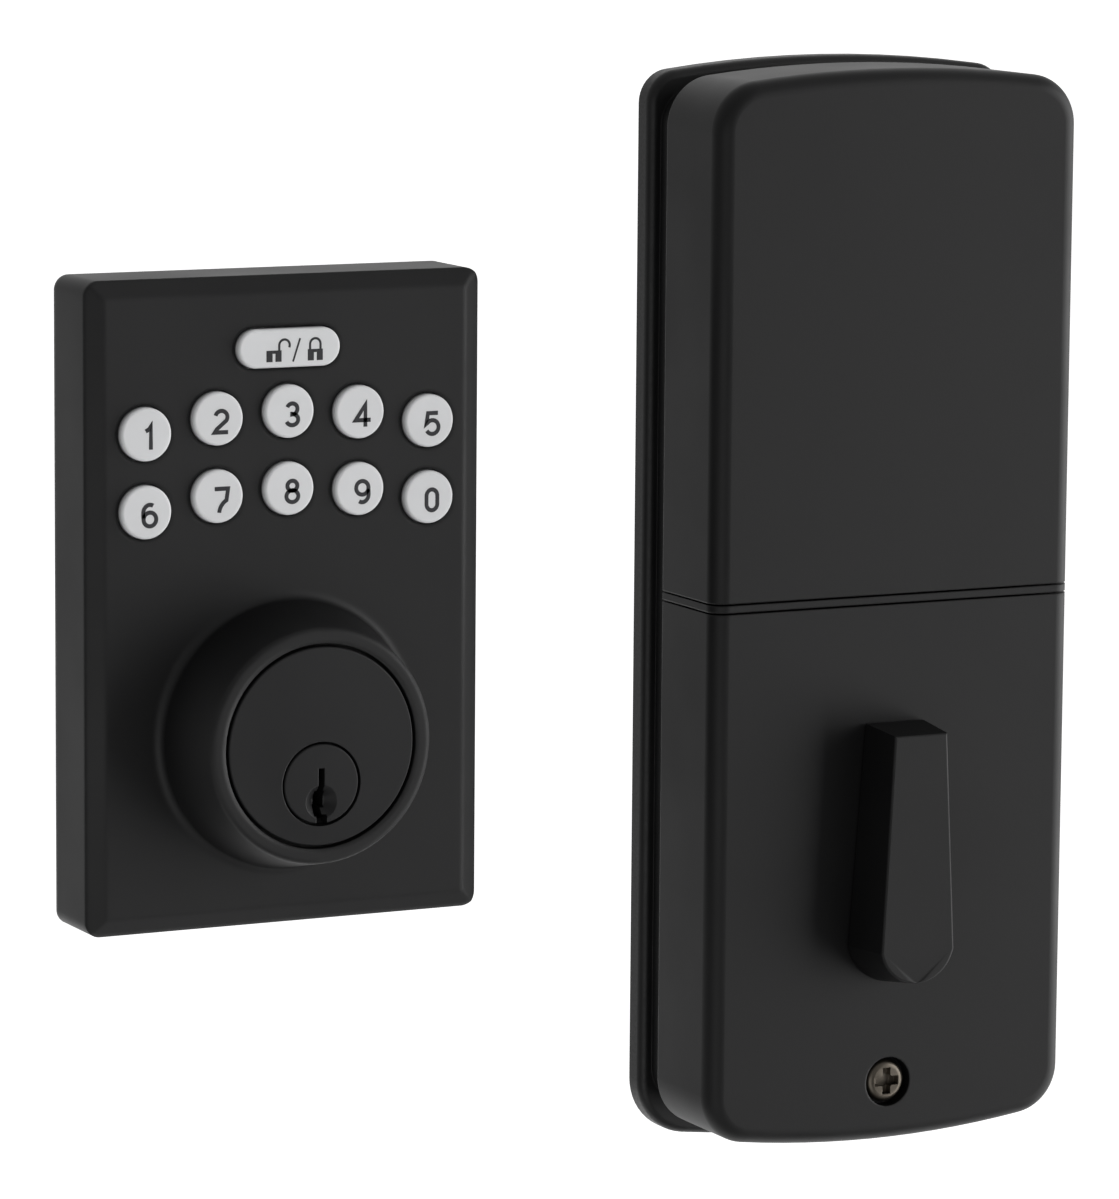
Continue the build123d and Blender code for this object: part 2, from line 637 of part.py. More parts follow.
def turn_spindle():
    """The hub that carries the turn in front, the drive gear, and a slot for the tailpiece."""
    spindle = rod(SPINDLE_R, SPINDLE_BACK, LAYER_IN[1]) + rod(SPINDLE_NECK_R, LAYER_IN[1], TURN_BACK - 0.2)
    spindle -= bar(*BLADE_SLOT, SPINDLE_BACK - 1, SPINDLE_BACK + 15)
    spindle -= bar(5.7, 5.7, TURN_BACK - 6.2, TURN_BACK + 1)
    return spindle - rod(SCREW_M3 + 0.1, SPINDLE_BACK + 14, TURN_BACK)


def turn_screw():
    """Holds the turn on the spindle, driven from inside the tailpiece slot."""
    return rod(SCREW_M3, SPINDLE_BACK + 15.2, TURN_BACK + 6)


def front_bush():
    return tube(BUSH_R, SPINDLE_NECK_R + RUNNING_GAP, COVER_INSIDE - 1.0, CASE_FRONT)


def rear_bush():
    return tube(REAR_BUSH_R, SPINDLE_R + RUNNING_GAP, 2.6, RIM_DEPTH + 1.6) + tube(
        REAR_BUSH_R + 1.2, SPINDLE_R + RUNNING_GAP, RIM_DEPTH + 0.1, RIM_DEPTH + 1.6)


# ---- gear drive ----
FRAME_BACK = 16.6
FRAME_FRONT = 18.1
LAYER_OUT = (18.5, 22.3)               # depths of the drive gear and the idler's small gear
LAYER_IN = (22.7, 26.4)                # depths of the idler's large gear and the motor pinion
IDLER_DISTANCE = MODULE_OUT * (DRIVE_TEETH + IDLER_SMALL_TEETH) / 2
MOTOR_DISTANCE = MODULE_IN * (IDLER_LARGE_TEETH + PINION_TEETH) / 2
IDLER_X = IDLER_DISTANCE * math.cos(math.radians(IDLER_ANGLE))
IDLER_Z = IDLER_DISTANCE * math.sin(math.radians(IDLER_ANGLE))
MOTOR_X = IDLER_X + MOTOR_DISTANCE * math.cos(math.radians(MOTOR_ANGLE))
MOTOR_Z = IDLER_Z + MOTOR_DISTANCE * math.sin(math.radians(MOTOR_ANGLE))
AXLE_R = 1.5
SHAFT_R = 1.0
MOTOR_R = 10.5
FRAME_POST_PLACES = [(-27.0, 34.0), (27.0, 34.0), (-27.0, -12.0), (27.0, -12.0)]


def polar(radius, angle):
    return (radius * math.cos(angle), radius * math.sin(angle))


def involute_angle(base, radius):
    """How far round an involute has turned when it reaches a radius."""
    ratio = math.sqrt(max((radius / base) ** 2 - 1, 0.0))
    return ratio - math.atan(ratio)


def gear_outline(module, teeth, first_tooth):
    """An involute spur gear whose first tooth points in the given direction, in degrees."""
    pitch = module * teeth / 2
    base = pitch * math.cos(PRESSURE)
    tip, root = pitch + 0.95 * module, pitch - 1.25 * module
    half = (math.pi * module / 2 - BACKLASH) / 2 / pitch + involute_angle(base, pitch)
    start = max(base, root)
    radii = [start + (tip - start) * share for share in (0, 0.35, 0.7, 1)]
    points = []
    for tooth in range(teeth):
        middle = math.radians(first_tooth) + 2 * math.pi * tooth / teeth
        flank = [(r, half - involute_angle(base, r)) for r in radii]
        if root < base:
            flank.insert(0, (root, half))
        points += [polar(r, middle - a) for r, a in flank]
        points += [polar(r, middle + a) for r, a in reversed(flank)]
    return make_face(Polyline(*points, close=True))


def drive_gear():
    outline = gear_outline(MODULE_OUT, DRIVE_TEETH, IDLER_ANGLE) - Circle(SPINDLE_R + 0.02)
    gear = slab(outline, *LAYER_OUT)
    for step in range(6):
        x, z = polar(10.6, math.radians(60 * step + 30))
        gear -= rod(2.2, 0, CASE_FRONT, x, z)
    return gear


def idler_gear():
    small = gear_outline(MODULE_OUT, IDLER_SMALL_TEETH, IDLER_ANGLE + 180 + 180 / IDLER_SMALL_TEETH)
    large = gear_outline(MODULE_IN, IDLER_LARGE_TEETH, MOTOR_ANGLE)
    gear = slab(small, LAYER_OUT[0], LAYER_IN[0]) + slab(large, *LAYER_IN)
    return Pos(IDLER_X, 0, IDLER_Z) * (gear - rod(AXLE_R + RUNNING_GAP, 0, CASE_FRONT))


def motor_pinion():
    outline = gear_outline(MODULE_IN, PINION_TEETH, MOTOR_ANGLE + 180 + 180 / PINION_TEETH)
    pinion = slab(outline, *LAYER_IN) + rod(2.4, LAYER_IN[0] - 1.5, LAYER_IN[0])
    pinion -= rod(SHAFT_R + 0.02, 0, CASE_FRONT)
    return Pos(MOTOR_X, 0, MOTOR_Z) * pinion


def motor_shaft():
    return rod(SHAFT_R, FRAME_BACK - 1.0, LAYER_IN[1] + 0.2, MOTOR_X, MOTOR_Z)


def drive_motor():
    """A flat can motor behind the gear frame, its shaft's boss through the frame."""
    motor = rod(MOTOR_R, RIM_DEPTH + 0.4, FRAME_BACK, MOTOR_X, MOTOR_Z)
    motor = fillet(motor.edges().filter_by(GeomType.CIRCLE), 0.8)
    motor += rod(3.0, FRAME_BACK, FRAME_FRONT, MOTOR_X, MOTOR_Z)
    return motor - rod(SHAFT_R + RUNNING_GAP, FRAME_BACK - 1.2, FRAME_FRONT + 1, MOTOR_X, MOTOR_Z)


def gear_frame():
    """The plate that carries the gears' axles, on four posts of the base."""
    frame = rounded_bar(62, 54, 4, FRAME_BACK, FRAME_FRONT, 0, 11)
    frame -= rod(SPINDLE_R + 0.4, 0, CASE_FRONT)
    frame -= rod(3.05, 0, CASE_FRONT, MOTOR_X, MOTOR_Z)
    frame -= rod(AXLE_R + 0.02, 0, CASE_FRONT, IDLER_X, IDLER_Z)
    for x, z in FRAME_POST_PLACES:
        frame -= rod(SCREW_M3 + 0.15, 0, CASE_FRONT, x, z)
    return frame


def idler_axle():
    axle = rod(AXLE_R, FRAME_BACK - 1.2, LAYER_IN[1] + 1.4, IDLER_X, IDLER_Z)
    clip = tube(2.8, AXLE_R - 0.1, LAYER_IN[1] + 0.4, LAYER_IN[1] + 0.9, IDLER_X, IDLER_Z)
    flange = tube(2.6, AXLE_R - 0.1, FRAME_BACK - 1.2, FRAME_BACK - 0.1, IDLER_X, IDLER_Z)
    return axle + clip + flange


def frame_screws():
    return group(pan_screw(2.8, 1.8, SCREW_M3, FRAME_FRONT, 8.0, x, z) for x, z in FRAME_POST_PLACES)


def position_cam():
    """A ring on the spindle whose lobe carries a magnet past the position sensors."""
    ring = tube(9.4, SPINDLE_R + 0.02, 12.6, 15.6)
    lobe = bar(3.4, 3.2, 12.6, 15.6, 0, -10.4)
    return ring + lobe


def position_sensors():
    """Two Hall sensors under the gear frame that tell the controller where the turn is."""
    sensors = []
    for sx in (-1, 1):
        body = bar(5.0, 9.0, 12.0, FRAME_BACK, sx * 17.0, -1.0)
        sensors.append(body + bar(1.6, 3.2, 12.8, 15.2, sx * 13.8, -1.0))
    return group(sensors)


# ---- battery bay ----
BAY_BOTTOM = 52.0
CELL_BOTTOM = BAY_BOTTOM + 4.6
CELL_DEPTH = 20.4
TRAY_BACK = CELL_DEPTH - CELL_R - 1.9
TRAY_TOP = CELL_BOTTOM + CELL_LENGTH + 4.6
CELL_PLACES = [(i - 1.5) * CELL_PITCH for i in range(4)]
MAIN_BOARD_BACK = 7.4
MAIN_BOARD_FRONT = 9.0
MAIN_BOARD = (58.0, 80.0, 91.0)        # width, height and the height of its centre
BOARD_POST_PLACES = [(sx * 25.0, z) for sx in (-1, 1) for z in (56.0, 126.0)]
STAKE_R = 1.2
PROGRAM_BUTTON = (-16.0, 122.0)
SPEAKER_PLACE = (-24.4, 119.6)


def battery_tray():
    """The open box that the cells drop into, with a low wall between cells."""
    height = TRAY_TOP - BAY_BOTTOM
    middle = (TRAY_TOP + BAY_BOTTOM) / 2
    width = 4 * CELL_PITCH + 2.6
    tray = bar(width, height, TRAY_BACK, CELL_DEPTH + 3, z=middle)
    tray -= bar(width - 2.4, height - 2.4, TRAY_BACK + 1.4, CELL_DEPTH + 4, z=middle)
    for x in (-CELL_PITCH, 0, CELL_PITCH):
        rib = bar(0.9, height - 2.4, TRAY_BACK + 1.3, TRAY_BACK + 4.0, x, middle)
        for cell_x in CELL_PLACES:
            rib -= rod_up(CELL_R + 0.1, CELL_BOTTOM - 3, CELL_BOTTOM + CELL_LENGTH + 3, cell_x)
        tray += rib
    for sx in (-1, 1):
        for z in (BAY_BOTTOM + 9, TRAY_TOP - 7):
            tray += bar(1.4, 8, RIM_DEPTH, TRAY_BACK + 1, sx * (width / 2 - 0.7), z)
    return tray


def rod_up(radius, bottom, top, x):
    return upright(radius, bottom, top, x, -CELL_DEPTH)


def aa_cell(x, plus_up):
    """One AA cell: the can with its crimped edges and the raised plus end."""
    can = rod_up(CELL_R, CELL_BOTTOM, CELL_BOTTOM + CELL_LENGTH - 1.2, x)
    can = fillet(can.edges().filter_by(GeomType.CIRCLE), 0.6)
    cell = can + rod_up(2.75, CELL_BOTTOM + CELL_LENGTH - 1.3, CELL_BOTTOM + CELL_LENGTH, x)
    if plus_up:
        return cell
    centre = Pos(x, -CELL_DEPTH, CELL_BOTTOM + CELL_LENGTH / 2)
    return centre * Rot(0, 180, 0) * centre.inverse() * cell


def aa_cells():
    return group(aa_cell(x, i % 2 == 0) for i, x in enumerate(CELL_PLACES))


CELL_MIDDLE = CELL_BOTTOM + CELL_LENGTH / 2
END_GAP = CELL_BOTTOM - BAY_BOTTOM
STRIP = 0.4
STRIP_INSET = 1.45         # from the tray's end to the middle of the strip


def turned_over(shape):
    """A piece of the battery bay moved to the same place at the other end of its cell."""
    middle = Pos(0, -CELL_DEPTH, CELL_MIDDLE)
    return middle * Rot(0, 180, 0) * middle.inverse() * shape


def battery_springs():
    """The minus contacts: conical springs, alternately at the foot and the head of the bay."""
    height = END_GAP - STRIP_INSET - STRIP / 2 - 0.7
    bottom = BAY_BOTTOM + STRIP_INSET + STRIP / 2 + 0.35
    springs = []
    for i, x in enumerate(CELL_PLACES):
        minus_down = i % 2 == 0
        spring = coil(4.6, 0.3, height, 3, x if minus_down else -x, -CELL_DEPTH, bottom, 2.4)
        springs.append(spring if minus_down else turned_over(spring))
    return group(springs)


def contact_strip(x, cells, low_end, button_places):
    """One spring-steel strip across the ends of some cells, with a raised button at each plus end."""
    width = cells * CELL_PITCH - 2
    strip = bar(width, STRIP, CELL_DEPTH - 5.4, CELL_DEPTH + 2.4, x, BAY_BOTTOM + STRIP_INSET)
    reach = END_GAP - STRIP_INSET - 0.05
    for place in button_places:
        strip += upright(2.2, BAY_BOTTOM + STRIP_INSET, BAY_BOTTOM + STRIP_INSET + reach, place, -CELL_DEPTH)
    if low_end:
        return strip
    return turned_over(strip)


def battery_contacts():
    """The strips that join the cells in series. A plus end is up on the even cells, down on the odd."""
    first, second, third, fourth = CELL_PLACES
    return group([
        contact_strip(-CELL_PITCH, 2, True, [second]), contact_strip(CELL_PITCH, 2, True, [fourth]),
        contact_strip(-first, 1, False, [-first]), contact_strip(0, 2, False, [-third]),
        contact_strip(-fourth, 1, False, []),
    ])


def main_board():
    width, height, middle = MAIN_BOARD
    board = rounded_bar(width, height, 1.5, MAIN_BOARD_BACK, MAIN_BOARD_FRONT, z=middle)
    for x, z in BOARD_POST_PLACES:
        board -= rod(STAKE_R + 0.05, 0, CASE_FRONT, x, z)
    return board


def main_chips():
    """What is soldered to the main board above the tray, with the program switch and the speaker."""
    front = MAIN_BOARD_FRONT
    chips = [bar(9, 9, front, front + 1.4, 8, 120), bar(6, 5, front, front + 1.6, -3, 121)]
    chips += [rod(3.1, front, front + 6.5, 20, 116.5), rod(3.1, front, front + 6.5, 20, 124)]
    chips += [bar(1.6, 0.9, front, front + 0.7, -24 + 3.4 * i, 113.6) for i in range(5)]
    header = bar(12, 4.6, front, front + 5.0, -2, 128.4)
    chips.append(header - bar(10.4, 3.2, front + 1.2, front + 6, -2, 128.4))
    x, z = PROGRAM_BUTTON
    switch = bar(6, 6, front, front + 2.6, x, z) + tube(3.0, 2.15, front + 2.6, front + 4.2, x, z)
    x, z = SPEAKER_PLACE
    speaker = rod(4.2, front, front + 4.5, x, z) - rod(0.9, front + 3.5, front + 5, x, z)
    return group(chips + [switch, speaker])


def program_button():
    x, z = PROGRAM_BUTTON
    return rod(2.0, MAIN_BOARD_FRONT + 3.4, MAIN_BOARD_FRONT + 6.0, x, z)


def build():
    os.makedirs("parts", exist_ok=True)
    save("keypad_escutcheon", keypad_escutcheon())
    for name, x, z in key_places():
        save(name, key_cap(x, z))
    save("lock_button", lock_button())
    save("keypad_membrane", keypad_membrane())
    save("keypad_board", keypad_board())
    save("keypad_chips", keypad_chips())
    save("cable_socket", cable_socket())
    save("board_screws", board_screws())
    save("exterior_back_plate", exterior_back_plate())
    save("door_seal", door_seal())
    save("mounting_posts", mounting_posts())
    save("back_plate_screws", back_plate_screws())
    save("cylinder_body", cylinder_body())
    save("cylinder_plug", cylinder_plug())
    save("key_pins", key_pins())
    save("driver_pins", driver_pins())
    save("pin_springs", pin_springs())
    save("plug_retainer", plug_retainer())
    save("tailpiece", tailpiece())
    save("cylinder_screws", cylinder_screws())
    shell = cover_shell()
    inside = {
        "front_cover": front_cover(shell), "battery_cover": battery_cover(shell),
        "divider_trim": divider_trim(shell), "interior_base": interior_base(),
        "interior_mounting_plate": interior_mounting_plate(), "base_screws": base_screws(),
        "through_bolts": through_bolts(), "cover_screw": cover_screw(),
        "thumb_turn": thumb_turn(), "turn_spindle": turn_spindle(), "turn_screw": turn_screw(),
        "front_bush": front_bush(), "rear_bush": rear_bush(),
        "drive_gear": drive_gear(), "idler_gear": idler_gear(), "idler_axle": idler_axle(),
        "motor_pinion": motor_pinion(), "motor_shaft": motor_shaft(), "drive_motor": drive_motor(),
        "gear_frame": gear_frame(), "frame_screws": frame_screws(),
        "position_cam": position_cam(), "position_sensors": position_sensors(),
        "battery_tray": battery_tray(), "aa_cells": aa_cells(),
        "battery_springs": battery_springs(), "battery_contacts": battery_contacts(),
        "main_board": main_board(), "main_chips": main_chips(),
        "program_button": program_button(),
    }
    for name, shape in inside.items():
        save(name, interior(shape))
    print(len(written), "nodes")


build()
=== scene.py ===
"""The looks of the keypad smart lock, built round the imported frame. Lengths are in metres.

-Y is the front of both units, +Z is up. The exterior unit's key axis is the Y axis.
"""

import math

import bmesh
import bpy
from mathutils import Matrix, Vector


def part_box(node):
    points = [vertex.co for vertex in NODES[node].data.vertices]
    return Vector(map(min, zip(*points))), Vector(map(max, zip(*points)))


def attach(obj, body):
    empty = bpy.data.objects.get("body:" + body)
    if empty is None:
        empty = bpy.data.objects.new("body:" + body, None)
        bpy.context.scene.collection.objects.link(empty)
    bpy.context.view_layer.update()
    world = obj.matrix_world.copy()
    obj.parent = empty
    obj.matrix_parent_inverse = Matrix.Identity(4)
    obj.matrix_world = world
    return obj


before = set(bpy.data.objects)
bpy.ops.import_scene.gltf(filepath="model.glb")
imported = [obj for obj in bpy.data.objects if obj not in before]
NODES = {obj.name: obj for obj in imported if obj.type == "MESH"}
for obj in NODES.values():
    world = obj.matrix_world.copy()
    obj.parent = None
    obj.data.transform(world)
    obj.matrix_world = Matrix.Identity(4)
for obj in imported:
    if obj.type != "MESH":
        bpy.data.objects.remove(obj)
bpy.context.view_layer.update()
MM = 0.001

# ---------------------------------------------------------------- camera
CAMERA_YAW = math.radians(26.418)      # the camera looks this far to the right of straight on
CAMERA_PITCH = math.radians(8.367)
CAMERA_ROLL = math.radians(0.45)
CAMERA_PLACE = (-0.4268, -0.9803, 0.1851)
CAMERA_LENS = 186.2                    # millimetres
CAMERA_SENSOR = 36.0                   # millimetres
CAMERA_SEES = (0.01, 200.0)            # nearest and farthest


def add_camera():
    """The camera, aimed by yaw, pitch and roll from straight on."""
    forward = Vector((math.sin(CAMERA_YAW) * math.cos(CAMERA_PITCH),
                      math.cos(CAMERA_YAW) * math.cos(CAMERA_PITCH),
                      -math.sin(CAMERA_PITCH)))
    level_right = forward.cross(Vector((0, 0, 1))).normalized()
    level_up = level_right.cross(forward)
    right = math.cos(CAMERA_ROLL) * level_right + math.sin(CAMERA_ROLL) * level_up
    up = math.cos(CAMERA_ROLL) * level_up - math.sin(CAMERA_ROLL) * level_right
    camera = bpy.data.objects.new("camera", bpy.data.cameras.new("camera"))
    bpy.context.scene.collection.objects.link(camera)
    turn = Matrix((right, up, -forward)).transposed().to_4x4()
    camera.matrix_world = Matrix.Translation(CAMERA_PLACE) @ turn
    camera.data.lens = CAMERA_LENS
    camera.data.sensor_width = CAMERA_SENSOR
    camera.data.clip_start, camera.data.clip_end = CAMERA_SEES
    bpy.context.scene.camera = camera


# ---------------------------------------------------------------- studio
FLOOR_Z = -0.9
FLOOR_LEFT = -0.8
FLOOR_FRONT = -0.15                    # the floor reaches this far in front of the door plane
FLOOR_REACH = 40.0
FLOOR_TONE = 0.86
FLOOR_ROUGH = 0.9
FLOOR_GLOW = 0.7


def add_floor():
    """A pale floor that glows a little, so that it stays even."""
    mesh = bpy.data.meshes.new("studio_floor")
    corners = [(FLOOR_LEFT, FLOOR_FRONT), (FLOOR_REACH, FLOOR_FRONT),
               (FLOOR_REACH, FLOOR_REACH), (FLOOR_LEFT, FLOOR_REACH)]
    mesh.from_pydata([(x, y, FLOOR_Z) for x, y in corners], [], [(0, 1, 2, 3)])
    floor = bpy.data.objects.new("studio_floor", mesh)
    bpy.context.scene.collection.objects.link(floor)
    kit = Shader("studio_floor_white")
    kit.set(base=(FLOOR_TONE, FLOOR_TONE, FLOOR_TONE), rough=FLOOR_ROUGH)
    kit.principled.inputs["Specular IOR Level"].default_value = 0.0
    kit.principled.inputs["Emission Color"].default_value = (1, 1, 1, 1)
    kit.principled.inputs["Emission Strength"].default_value = FLOOR_GLOW
    mesh.materials.append(kit.material)


STUDIO_MIDDLE = (0.06, -0.02, 0.03)    # what the lights point at
KEY_LIGHT_PLACE = (2.45, -1.00, -0.12)
KEY_LIGHT_SIDE = 2.8
KEY_LIGHT_WATTS = 84.0
FILL_LIGHT_PLACE = (-0.72, -1.22, -0.50)
FILL_LIGHT_SIDE = 1.2
FILL_LIGHT_WATTS = 4.5


def add_area_light(name, place, side, power):
    """A square white light that points at the middle of the studio."""
    data = bpy.data.lights.new(name, "AREA")
    data.shape = "RECTANGLE"
    data.size = side
    data.size_y = side
    data.energy = power
    light = bpy.data.objects.new(name, data)
    bpy.context.scene.collection.objects.link(light)
    light.location = place
    aim = Vector(STUDIO_MIDDLE) - Vector(place)
    light.rotation_euler = aim.to_track_quat("-Z", "Y").to_euler()


# The studio's tone at each share of the way from its brightest side, at the back, to its darkest.
# The share is half of one plus the cosine of the angle from the darkest direction.
STUDIO_DARKEST = (-0.50, -0.82, -0.28)
STUDIO_TONES = ((0.0, 1.0), (0.05, 1.0), (0.18, 0.50), (0.50, 0.50),
                (0.66, 0.40), (0.80, 0.27), (0.93, 0.26), (1.0, 0.26))


def add_world():
    """A pale studio whose front left is dark, so that bevels and edges show."""
    world = bpy.data.worlds.new("studio")
    bpy.context.scene.world = world
    world.use_nodes = True
    tree = world.node_tree
    background = tree.nodes["Background"]
    coordinate = tree.nodes.new("ShaderNodeTexCoord")
    facing = tree.nodes.new("ShaderNodeVectorMath")
    facing.operation = "DOT_PRODUCT"
    facing.inputs[1].default_value = Vector(STUDIO_DARKEST).normalized()
    share = tree.nodes.new("ShaderNodeMapRange")
    share.inputs["From Min"].default_value = -1.0
    ramp = tree.nodes.new("ShaderNodeValToRGB")
    steps = ramp.color_ramp.elements
    while len(steps) < len(STUDIO_TONES):
        steps.new(1.0)
    for step, (place, tone) in zip(steps, STUDIO_TONES):
        step.position = place
        step.color = (tone, tone, tone, 1)
    tree.links.new(coordinate.outputs["Generated"], facing.inputs[0])
    tree.links.new(facing.outputs["Value"], share.inputs["Value"])
    tree.links.new(share.outputs["Result"], ramp.inputs["Fac"])
    tree.links.new(ramp.outputs["Color"], background.inputs["Color"])
    background.inputs["Strength"].default_value = 1.0


def add_studio():
    add_world()
    add_floor()
    add_area_light("key_light", KEY_LIGHT_PLACE, KEY_LIGHT_SIDE, KEY_LIGHT_WATTS)
    add_area_light("fill_light", FILL_LIGHT_PLACE, FILL_LIGHT_SIDE, FILL_LIGHT_WATTS)
    view = bpy.context.scene.view_settings
    view.view_transform = "Standard"
    view.look = "None"


# ---------------------------------------------------------------- materials
NOISE_LOW, NOISE_HIGH = 0.3, 0.7       # where most of a noise texture's values lie
MIX_FACTOR, MIX_A, MIX_B, MIX_RESULT = 0, 6, 7, 2   # a Mix node's sockets when it mixes colours
BEVEL_SAMPLES = 6
EDGE_MASK_GAIN = 6.0


class Shader:
    """A Principled material and the few node patterns that the finishes below share."""

    def __init__(self, name):
        self.material = bpy.data.materials.new(name)
        self.material.use_nodes = True
        self.tree = self.material.node_tree
        self.principled = self.tree.nodes["Principled BSDF"]
        self.where = self.tree.nodes.new("ShaderNodeTexCoord").outputs["Object"]

    def set(self, base=None, rough=None, metal=0.0, ior=1.5):
        if base is not None:
            self.principled.inputs["Base Color"].default_value = (*base, 1)
        if rough is not None:
            self.principled.inputs["Roughness"].default_value = rough
        self.principled.inputs["Metallic"].default_value = metal
        self.principled.inputs["IOR"].default_value = ior

    def node(self, kind, **inputs):
        made = self.tree.nodes.new(kind)
        for key, value in inputs.items():
            socket = made.inputs[key]
            if isinstance(value, bpy.types.NodeSocket):
                self.tree.links.new(value, socket)
            else:
                socket.default_value = value
        return made

    def math(self, operation, first, second):
        made = self.tree.nodes.new("ShaderNodeMath")
        made.operation = operation
        for socket, value in zip(made.inputs, (first, second)):
            if isinstance(value, bpy.types.NodeSocket):
                self.tree.links.new(value, socket)
            else:
                socket.default_value = value
        return made.outputs[0]

    def noise(self, size, detail, where=None):
        """Noise whose blobs are about this many metres across."""
        made = self.node("ShaderNodeTexNoise", Vector=where or self.where, Scale=1 / size, Detail=detail)
        return made.outputs["Fac"]

    def stretch(self, scale):
        """The place, scaled on each axis, for brushed and drawn finishes."""
        made = self.tree.nodes.new("ShaderNodeMapping")
        self.tree.links.new(self.where, made.inputs["Vector"])
        made.inputs["Scale"].default_value = scale
        return made.outputs["Vector"]

    def spread(self, value, low, high):
        """Maps a noise value to a range."""
        made = self.node("ShaderNodeMapRange", Value=value)
        made.inputs["From Min"].default_value = NOISE_LOW
        made.inputs["From Max"].default_value = NOISE_HIGH
        made.inputs["To Min"].default_value = low
        made.inputs["To Max"].default_value = high
        return made.outputs["Result"]

    def shade(self, factor, dark, light):
        """A colour between two, by a factor."""
        made = self.tree.nodes.new("ShaderNodeMix")
        made.data_type = "RGBA"
        self.tree.links.new(factor, made.inputs[MIX_FACTOR])
        made.inputs[MIX_A].default_value = (*dark, 1)
        made.inputs[MIX_B].default_value = (*light, 1)
        return made.outputs[MIX_RESULT]

    def link(self, output, name):
        self.tree.links.new(output, self.principled.inputs[name])

    def soft_edges(self, radius):
        """Normals that round the object's sharp edges."""
        made = self.tree.nodes.new("ShaderNodeBevel")
        made.samples = BEVEL_SAMPLES
        made.inputs["Radius"].default_value = radius
        return made.outputs["Normal"]

    def edge_mask(self, rounded):
        """0 on flat surfaces, 1 on sharp edges."""
        true_normal = self.tree.nodes.new("ShaderNodeNewGeometry").outputs["Normal"]
        dot = self.tree.nodes.new("ShaderNodeVectorMath")
        dot.operation = "DOT_PRODUCT"
        self.tree.links.new(rounded, dot.inputs[0])
        self.tree.links.new(true_normal, dot.inputs[1])
        away = self.math("SUBTRACT", 1.0, dot.outputs["Value"])
        scaled = self.math("MULTIPLY", away, EDGE_MASK_GAIN)
        return self.math("MINIMUM", scaled, 1.0)

    def bump(self, heights, normal=None):
        """Adds up (height, strength, distance) layers into the normal."""
        for height, strength, distance in heights:
            made = self.node("ShaderNodeBump", Height=height, Strength=strength, Distance=distance)
            if normal is not None:
                self.tree.links.new(normal, made.inputs["Normal"])
            normal = made.outputs["Normal"]
        self.link(normal, "Normal")


COAT_RUBBED = 0.008                    # how much paler a coat is where its edges are rubbed


def coated_metal(name, dark, light, rough=0.50, grain=0.35 * MM, depth=0.02 * MM, edge=0.4 * MM, ior=1.36):
    """Matte powder coat: fine orange peel, faint cloudiness, and edges rubbed a little smoother."""
    kit = Shader(name)
    kit.set(metal=0.0, ior=ior)
    rounded = kit.soft_edges(edge)
    worn = kit.edge_mask(rounded)
    cloud = kit.noise(28 * MM, 4.0)
    peel = kit.noise(grain, 3.0)
    speck = kit.noise(grain * 0.35, 1.0)
    tone = kit.math("ADD", kit.spread(cloud, 0.0, 0.6), kit.spread(speck, 0.0, 0.4))
    coat = kit.shade(tone, dark, light)
    rubbed = kit.tree.nodes.new("ShaderNodeMix")
    rubbed.data_type = "RGBA"
    rubbed.blend_type = "ADD"
    uneven = kit.spread(kit.noise(3 * MM, 3.0), 0.0, 1.0)
    kit.tree.links.new(kit.math("MULTIPLY", worn, uneven), rubbed.inputs[MIX_FACTOR])
    kit.tree.links.new(coat, rubbed.inputs[MIX_A])
    rubbed.inputs[MIX_B].default_value = (COAT_RUBBED, COAT_RUBBED, COAT_RUBBED, 1)
    kit.link(rubbed.outputs[MIX_RESULT], "Base Color")
    smoother = kit.math("MULTIPLY", worn, -0.10)
    kit.link(kit.math("ADD", kit.spread(cloud, rough - 0.05, rough + 0.05), smoother), "Roughness")
    kit.bump([(peel, 0.5, depth), (speck, 0.35, depth * 0.4)], rounded)
    return kit.material


def moulded_plastic(name, dark, light, rough, grain=0.5 * MM, scatter=0.0):
    """Injection moulded plastic: an even fine texture, with flow clouds and slightly glossier edges."""
    kit = Shader(name)
    kit.set(metal=0.0, ior=1.40)
    rounded = kit.soft_edges(0.25 * MM)
    flow = kit.noise(14 * MM, 3.0)
    texture = kit.noise(grain, 2.0)
    kit.link(kit.shade(kit.spread(flow, 0.0, 1.0), dark, light), "Base Color")
    worn = kit.math("MULTIPLY", kit.edge_mask(rounded), -0.08)
    kit.link(kit.math("ADD", kit.spread(texture, rough - 0.06, rough + 0.06), worn), "Roughness")
    if scatter:
        kit.principled.inputs["Subsurface Weight"].default_value = scatter
        kit.principled.inputs["Subsurface Radius"].default_value = (1.0, 1.0, 1.0)
        kit.principled.inputs["Subsurface Scale"].default_value = 0.6 * MM
    kit.bump([(texture, 0.4, 0.012 * MM)], rounded)
    return kit.material


TURNED = (1, 60, 1)                    # how closely a metal's lines are packed along X, Y and Z
ROLLED = (1, 60, 60)


def drawn_metal(name, dark, light, rough, direction=TURNED):
    """Plated or bare metal with fine lines from rolling or turning, and a few dull patches."""
    kit = Shader(name)
    kit.set(metal=1.0)
    rounded = kit.soft_edges(0.12 * MM)
    lines = kit.noise(5 * MM, 4.0, kit.stretch(direction))
    patch = kit.noise(6 * MM, 3.0)
    tone = kit.math("ADD", kit.spread(patch, 0.0, 0.6), kit.spread(lines, 0.0, 0.4))
    kit.link(kit.shade(tone, dark, light), "Base Color")
    streaks = kit.spread(lines, rough - 0.07, rough + 0.07)
    kit.link(kit.math("ADD", streaks, kit.spread(patch, 0.0, 0.08)), "Roughness")
    kit.bump([(lines, 0.5, 0.01 * MM)], rounded)
    return kit.material


